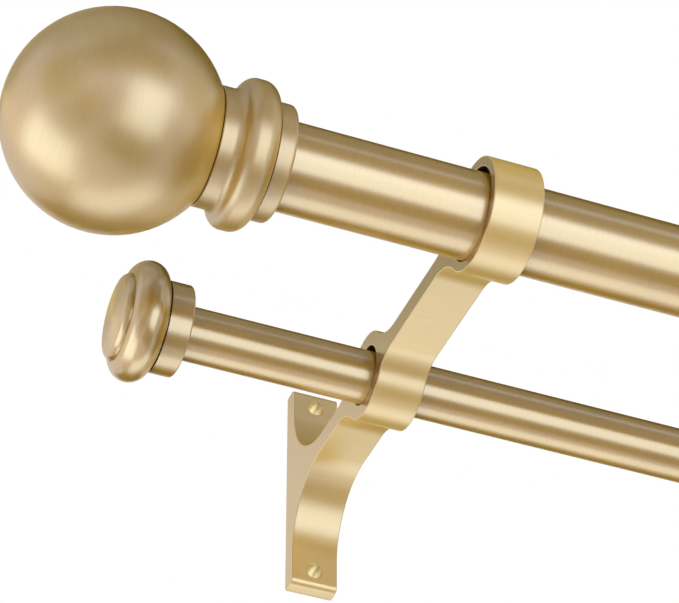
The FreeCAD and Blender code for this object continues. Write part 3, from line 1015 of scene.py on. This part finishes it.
    def build(self, finishes: dict[BracketFace, bpy.types.Material], drilled: bpy.types.Material) -> None:
        """Build and dress the bracket.

        Args:
            finishes: A finish for each kind of face.
            drilled: The finish of the drilled holes: pale bare metal, with painted light inside the holes.
        """
        mesh = self.draw_profile()
        edge = self.edge_round
        width = self.high.x - self.low.x
        bmesh.ops.triangle_fill(mesh, use_beauty=True, use_dissolve=False, edges=mesh.edges[:])
        bmesh.ops.translate(mesh, vec=X_AXIS * edge, verts=mesh.verts[:])
        near = mesh.faces[:]
        made = bmesh.ops.extrude_face_region(mesh, geom=near, use_keep_orig=True)
        far = [item for item in made["geom"] if isinstance(item, bmesh.types.BMFace)]
        far_verts = [item for item in made["geom"] if isinstance(item, bmesh.types.BMVert)]
        bmesh.ops.translate(mesh, vec=X_AXIS * (width - 2 * edge), verts=far_verts)
        bmesh.ops.recalc_face_normals(mesh, faces=mesh.faces[:])
        for share_in, share_out in ((1 - EDGE_MIDDLE, EDGE_MIDDLE), (EDGE_MIDDLE, 1 - EDGE_MIDDLE)):
            for cap in (near, far):
                bmesh.ops.inset_region(
                    mesh, faces=cap, thickness=edge * share_in, depth=edge * share_out, use_even_offset=True
                )
        for face in near + far:
            face.material_index = BracketFace.SAWN
        for face in filter(self.in_bore, mesh.faces):
            face.material_index = BracketFace.BORE
        materials = [finishes[face] for face in BracketFace]
        piece = finish_piece(mesh, f"{self.node}_sawn", [self.node], materials)
        self.drill(piece, drilled)

    def drill(self, piece: bpy.types.Object, material: bpy.types.Material) -> None:
        """Drill the wall holes, with broken rims, and the set screw holes.

        Args:
            piece: The bracket's object, whose mesh is replaced by the drilled one.
            material: The finish of the holes: pale bare metal, with painted light inside them.
        """
        middle_x = (self.low.x + self.high.x) / 2
        to_room = Matrix.Rotation(math.pi / 2, 4, "X")
        # The drill's middle is on the wall's plane, so half of its length is behind the plate.
        drill_length = 4 * self.plate_thickness
        # A rim's cone runs on past the plate's face and the hole's wall, so that it crosses both cleanly.
        overrun = 2 * self.hole_rim
        mouth = self.hole_radius + self.hole_rim
        cutters, rims = bmesh.new(), bmesh.new()
        for sign in (-1, 1):
            place = Matrix.Translation((middle_x, 0, sign * self.hole_spacing / 2)) @ to_room
            self.add_tool(cutters, place, (self.hole_radius, self.hole_radius), drill_length)
            rim_place = place @ Matrix.Translation((0, 0, self.plate_thickness))
            self.add_tool(rims, rim_place, (mouth - overrun, mouth + overrun), 2 * overrun)
        for name, ring in (("front", self.front), ("rear", self.rear)):
            low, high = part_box(self.side.node(f"{name}_set_screw"))
            radius = (high.x - low.x) / 2 + self.thread_play
            place = Matrix.Translation(ring.middle + Vector((middle_x - self.low.x, 0, ring.radius)))
            self.add_tool(cutters, place, (radius, radius), ring.radius)
        for tool in (cutters, rims):
            self.cut(piece, tool, material)

    @staticmethod
    def add_tool(mesh: bmesh.types.BMesh, place: Matrix, radii: tuple[float, float], length: float) -> None:
        """Add a drill or a countersink to a mesh of tools.

        Args:
            mesh: The mesh of tools.
            place: The tool's middle, with its axis along Z.
            radii: Its radius at its lower and at its upper end.
            length: Its length.
        """
        bmesh.ops.create_cone(
            mesh,
            cap_ends=True,
            segments=HOLE_SEGMENTS,
            radius1=radii[0],
            radius2=radii[1],
            depth=length,
            matrix=place,
        )

    @staticmethod
    def cut(piece: bpy.types.Object, tool: bmesh.types.BMesh, material: bpy.types.Material) -> None:
        """Cut a tool's shape out of the bracket.

        Args:
            piece: The bracket's object, whose mesh is replaced by the cut one.
            tool: The tool's mesh, which is freed.
            material: The finish of the faces that it leaves.
        """
        cutter = mesh_object("tool", tool, [material])
        cutting = piece.modifiers.new("cutting", "BOOLEAN")
        cutting.operation = "DIFFERENCE"
        cutting.solver = "EXACT"
        cutting.material_mode = "TRANSFER"
        cutting.object = cutter
        bpy.context.view_layer.update()
        done = bpy.data.meshes.new_from_object(piece.evaluated_get(bpy.context.evaluated_depsgraph_get()))
        piece.modifiers.remove(cutting)
        mesh = bmesh.new()
        mesh.from_mesh(done)
        bmesh.ops.remove_doubles(mesh, verts=mesh.verts[:], dist=MERGE_DISTANCE)
        bmesh.ops.dissolve_degenerate(mesh, dist=MERGE_DISTANCE, edges=mesh.edges[:])
        mesh.to_mesh(done)
        mesh.free()
        done.name = piece.name
        piece.data = done
        shade(done)
        used = cutter.data
        bpy.data.objects.remove(cutter)
        bpy.data.meshes.remove(used)


def way_towards(azimuth: float, elevation: float) -> Vector:
    """Return the unit vector of a direction seen from the object.

    Args:
        azimuth: Degrees from the room's side, -Y, with +X at 90.
        elevation: Degrees above the level.

    Returns:
        The vector.
    """
    turn, rise = math.radians(azimuth), math.radians(elevation)
    return Vector((math.sin(turn) * math.cos(rise), -math.cos(turn) * math.cos(rise), math.sin(rise)))


def facing(place: Vector, back: Vector) -> Matrix:
    """Return the matrix of a camera or panel at a place, with its back turned a given way."""
    return Matrix.Translation(place) @ back.to_track_quat("Z", "Y").to_matrix().to_4x4()


@dataclass(frozen=True)
class Panel:
    """A lamp or a card of the studio, turned to the object."""

    name: str
    azimuth: float
    elevation: float
    width: float
    height: float
    level: float
    distance: float = 2.2

    def place(self, target: Vector) -> Matrix:
        """Return the panel's place, facing the target with its -Z."""
        way = way_towards(self.azimuth, self.elevation)
        return facing(target + way * self.distance, way)


@dataclass
class Studio:
    """Camera, soft lamps, grey cards, pale floor and white surround."""

    camera_place: tuple[float, float, float] = (-0.51108, -0.72018, -0.58346)
    camera_azimuth: float = -21.34
    camera_elevation: float = -40.77
    focal_length: float = 166.2
    sensor: float = 36.0
    target: tuple[float, float, float] = (-0.28, -0.11, -0.005)
    floor_height: float = -2.0
    floor_size: float = 14.0
    floor_tones: tuple[Colour, Colour] = ((0.86, 0.86, 0.86), (0.9, 0.9, 0.9))
    speckle_scale: float = 6.0
    speckle_detail: float = 3.0
    surround: float = 1.0
    fill: float = 0.9

    def build(self) -> None:
        """Set the whole stage."""
        self.add_camera()
        self.add_surround()
        self.add_floor()
        target = Vector(self.target)
        for lamp in LAMPS:
            self.add_lamp(lamp, target)
        for card in CARDS:
            self.add_card(card, target)
        bpy.context.scene.view_settings.view_transform = "Standard"

    def add_camera(self) -> None:
        """Put the camera where the photograph was taken from, below the poles and to their left."""
        data = bpy.data.cameras.new("camera")
        data.sensor_fit = "HORIZONTAL"
        data.sensor_width = self.sensor
        data.lens = self.focal_length
        camera = bpy.data.objects.new("camera", data)
        bpy.context.scene.collection.objects.link(camera)
        back = way_towards(self.camera_azimuth, self.camera_elevation)
        camera.matrix_world = facing(Vector(self.camera_place), back)
        bpy.context.scene.camera = camera

    def add_surround(self) -> None:
        """Make the world white to the eye and in the metal, and a soft fill to everything else."""
        graph = Graph(bpy.data.worlds.new("surround"))
        rays = graph.node("ShaderNodeLightPath").outputs
        seen = rays["Is Camera Ray"]
        for ray in ("Is Glossy Ray", "Is Transmission Ray"):
            seen = graph.math("MAXIMUM", seen, rays[ray])
        fill = graph.node("ShaderNodeBackground", Strength=self.fill)
        white = graph.node("ShaderNodeBackground", Color=opaque(WHITE), Strength=self.surround)
        bpy.context.scene.world = graph.finish(graph.blended(seen, fill, white), "ShaderNodeOutputWorld")

    def add_floor(self) -> None:
        """Lay a pale floor far below the poles, open to views from under it."""
        graph = Graph.of_material("pale_floor")
        place = graph.node("ShaderNodeTexCoord").outputs["Object"]
        speckle = graph.noise(place, self.speckle_scale, self.speckle_detail)
        colour = graph.mixed(speckle, *(opaque(tone) for tone in self.floor_tones))
        matte = graph.node("ShaderNodeBsdfDiffuse", Color=colour)
        clear = graph.node("ShaderNodeBsdfTransparent")
        below = graph.node("ShaderNodeNewGeometry").outputs["Backfacing"]
        material = graph.finish(graph.blended(below, matte, clear))
        mesh = bmesh.new()
        bmesh.ops.create_grid(mesh, x_segments=1, y_segments=1, size=self.floor_size / 2)
        self.stand("floor", mesh, Matrix.Translation((0, 0, self.floor_height)), material)

    @staticmethod
    def stand(
        name: str, mesh: bmesh.types.BMesh, place: Matrix, material: bpy.types.Material
    ) -> bpy.types.Object:
        """Add a piece of the stage.

        Args:
            name: Its name.
            mesh: Its mesh, which is freed.
            place: Its place.
            material: Its material.

        Returns:
            Its object.
        """
        item = mesh_object(name, mesh, [material])
        item.matrix_world = place
        return item

    @staticmethod
    def add_lamp(lamp: Panel, target: Vector) -> None:
        """Hang a soft area lamp whose face has the panel's level.

        Args:
            lamp: The lamp's size, place and level.
            target: The point that it faces.
        """
        data = bpy.data.lights.new(lamp.name, "AREA")
        data.shape = "RECTANGLE"
        data.size, data.size_y = lamp.width, lamp.height
        data.color = LIGHT_TINT
        data.energy = lamp.level * math.pi * lamp.width * lamp.height
        item = bpy.data.objects.new(lamp.name, data)
        item.matrix_world = lamp.place(target)
        item.visible_camera = False
        bpy.context.scene.collection.objects.link(item)

    def add_card(self, card: Panel, target: Vector) -> None:
        """Stand a grey card that only the metal sees.

        Args:
            card: The card's size, place and level.
            target: The point that it faces.
        """
        graph = Graph.of_material(card.name)
        tone = opaque(tuple(card.level * part for part in LIGHT_TINT))
        shader = graph.node("ShaderNodeEmission", Color=tone, Strength=1.0)
        mesh = bmesh.new()
        bmesh.ops.create_grid(mesh, x_segments=1, y_segments=1, size=1)
        bmesh.ops.scale(mesh, vec=(card.width / 2, card.height / 2, 1), verts=mesh.verts[:])
        item = self.stand(card.name, mesh, card.place(target), graph.finish(shader))
        item.visible_camera = False
        item.visible_diffuse = False
        item.visible_shadow = False


WHITE = (1.0, 1.0, 1.0)
LIGHT_TINT = (1.0, 0.995, 0.76)
# Each has its name, azimuth, elevation, width, height, level and, where it isn't the usual one, distance.
LAMPS = (
    Panel("lamp_front", 19, -21, 1.7, 2.0, 1.95),
    Panel("lamp_left", -112, -28, 1.6, 2.2, 2.05),
    Panel("lamp_low", 157, -49, 2.2, 1.0, 1.3, 1.8),
)
CARDS = (
    Panel("card_top", 40, 80, 5.0, 3.2, 0.34, 2.8),
    Panel("card_top_left", -50, 64, 2.4, 1.6, 0.65, 2.4),
    Panel("card_top_back", -158, 55.5, 2.4, 1.4, 0.46, 2.4),
    Panel("card_front", -4, 27, 4.0, 1.7, 0.36, 2.8),
    Panel("card_right", 96, -4, 1.7, 2.4, 0.08, 2.4),
    Panel("card_low", 20, -66, 2.0, 1.0, 0.25, 1.9),
    Panel("card_back", 172, -4, 2.4, 1.9, 0.04, 2.8),
    Panel("card_corner", -50, -28, 1.4, 1.4, 0.45, 2.8),
    Panel("card_left", -66, 14, 1.8, 2.0, 0.55, 2.6),
    Panel("card_right_top", 62, 26, 1.5, 1.9, 0.75, 2.6),
    Panel("card_back_right", 132, 4, 1.6, 1.8, 0.75, 2.6),
    Panel("card_top_right", 138, 54, 2.4, 1.7, 0.0, 2.4),
)


def dress_hidden(finishes: dict[Slot, bpy.types.Material]) -> None:
    """Dress the CAD nodes that stay: plugs, studs and screws.

    Args:
        finishes: A finish for each slot.
    """
    names = {
        "front_plug": Slot.PLUG, "rear_plug": Slot.PLUG, "stud": Slot.SCREW, "cap_screw": Slot.SCREW,
        "front_set_screw": Slot.SCREW, "rear_set_screw": Slot.SCREW,
    }
    for side in Side:
        for name, slot in names.items():
            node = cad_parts[side.node(name)]
            node.data.materials.clear()
            node.data.materials.append(finishes[slot])
            log.info("%s: dressed", node.name)


def main() -> None:
    """Build every piece, then the studio."""
    logging.basicConfig(level=logging.INFO, format="%(name)s: %(message)s")
    front, rear = tuple(Axis.of("front_pole").point), tuple(Axis.of("rear_pole").point)
    finials = [BallFinial(side) for side in Side]
    caps = [CappedEnd(side) for side in Side]
    front_gold = BrushedGold("front_gold", axis=front).material()
    rear_gold = BrushedGold("rear_gold", axis=rear).material()
    # The ball, collar and cap finishes have painted shade in their seams.
    seams = finials[0].seams
    ball_gold = BrushedGold("ball_gold", axis=front, lacquer_roughness=0.34, seams=seams).material()
    collar_gold = BrushedGold("collar_gold", axis=front, lacquer_roughness=0.36, seams=seams).material()
    cap_gold = BrushedGold("cap_gold", axis=rear, seams=caps[0].seams).material()
    strip = BrushedGold(
        "strip_gold",
        colour=(0.71, 0.495, 0.12),
        deep_colour=(0.62, 0.425, 0.09),
        roughness=0.78,
        anisotropy=0.6,
        lacquer_roughness=0.33,
        lines_per_metre=800.0,
        line_depth=0.009 * MM,
        brushing=Brushing.ALONG,
    ).material()
    sawn = Grained("sawn_gold", (0.59, 0.42, 0.20), (0.52, 0.36, 0.16), metallic=1.0, roughness=0.22)
    # Painted shade: the rings' bores are dark brown for the shadow inside them.
    bore_shade = Grained("bore_gold", (0.14, 0.08, 0.025), (0.09, 0.05, 0.015), metallic=1.0, roughness=0.5)
    # The holes' walls are pale: bare drilled metal, and painted light inside the holes.
    drilled = Grained("drilled_gold", (0.74, 0.62, 0.36), (0.66, 0.54, 0.29), metallic=1.0, roughness=0.35)
    zinc = Grained("zinc", (0.62, 0.62, 0.60), (0.5, 0.5, 0.49), metallic=1.0, roughness=0.35)
    nylon = Grained(
        "black_nylon", (0.035, 0.035, 0.037), (0.02, 0.02, 0.021), metallic=0.0, roughness=0.55
    )
    bracket_finishes = {
        BracketFace.SWEPT: strip,
        BracketFace.SAWN: sawn.material(),
        BracketFace.BORE: bore_shade.material(),
    }
    holes = drilled.material()
    Pole("front_pole", wall=1.2 * MM).build(front_gold)
    Pole("rear_pole", wall=1.0 * MM).build(rear_gold)
    for finial in finials:
        finial.build(collar_gold, ball_gold)
    for cap in caps:
        cap.build(cap_gold)
    for side in Side:
        Bracket(side).build(bracket_finishes, holes)
    dress_hidden({Slot.SCREW: zinc.material(), Slot.PLUG: nylon.material()})
    Studio().build()


if __name__ == "__main__":
    main()
